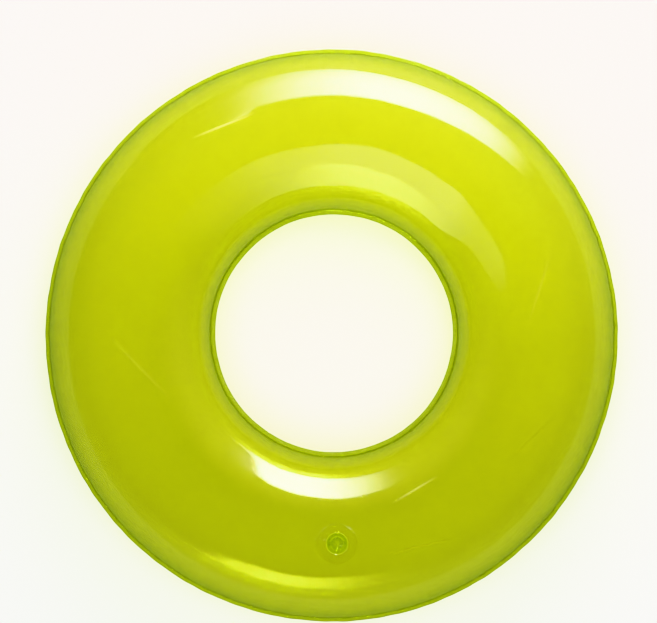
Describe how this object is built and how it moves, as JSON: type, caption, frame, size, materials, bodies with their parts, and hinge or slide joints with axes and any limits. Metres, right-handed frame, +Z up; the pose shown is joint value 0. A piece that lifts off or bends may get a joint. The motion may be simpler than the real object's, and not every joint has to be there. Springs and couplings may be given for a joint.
{
  "type": "inflatable swim ring",
  "caption": "Blown-up swim ring of clear lime film, with welded seams and a flush push-in air valve with plug and check flap.",
  "frame": {"origin": "on the ground, under the middle of the hole", "axes": "+Z up along the axis of the hole; the valve is on the crest towards -Y"},
  "size_m": [0.64, 0.64, 0.16],
  "materials": {
    "film": "clear lime vinyl film, glossy",
    "weld": "two films welded together, finely embossed",
    "soft_moulding": "soft clear lime moulding, glossy"
  },
  "bodies": {
    "ring": {"upper_sheet": "film", "lower_sheet": "film", "outer_weld_rim": "weld", "inner_weld_rim": "weld", "valve_flange": "soft_moulding", "valve_skirt": "soft_moulding"},
    "stem": {"valve_stem": "soft_moulding", "valve_tether": "soft_moulding"},
    "plug": {"valve_plug": "soft_moulding"},
    "check_flap": {"valve_check_flap": "soft_moulding"}
  },
  "joints": [
    {"name": "valve_pop_up", "type": "slide", "parent": "ring", "child": "stem", "axis": [0, 0, 1], "range_m": [0, 0.014], "deforming": ["valve_skirt"]},
    {"name": "plug_swing", "type": "hinge", "parent": "stem", "child": "plug", "pos_m": [-0.008, -0.22975, 0.15805], "axis": [0, -1, 0], "range_deg": [0, 120], "deforming": ["valve_tether"]},
    {"name": "check_flap_hinge", "type": "hinge", "parent": "stem", "child": "check_flap", "pos_m": [-0.0062, -0.22975, 0.1427], "axis": [0, 1, 0], "range_deg": [0, 60], "stiffness_Nm_per_rad": 0.0002}
  ]
}
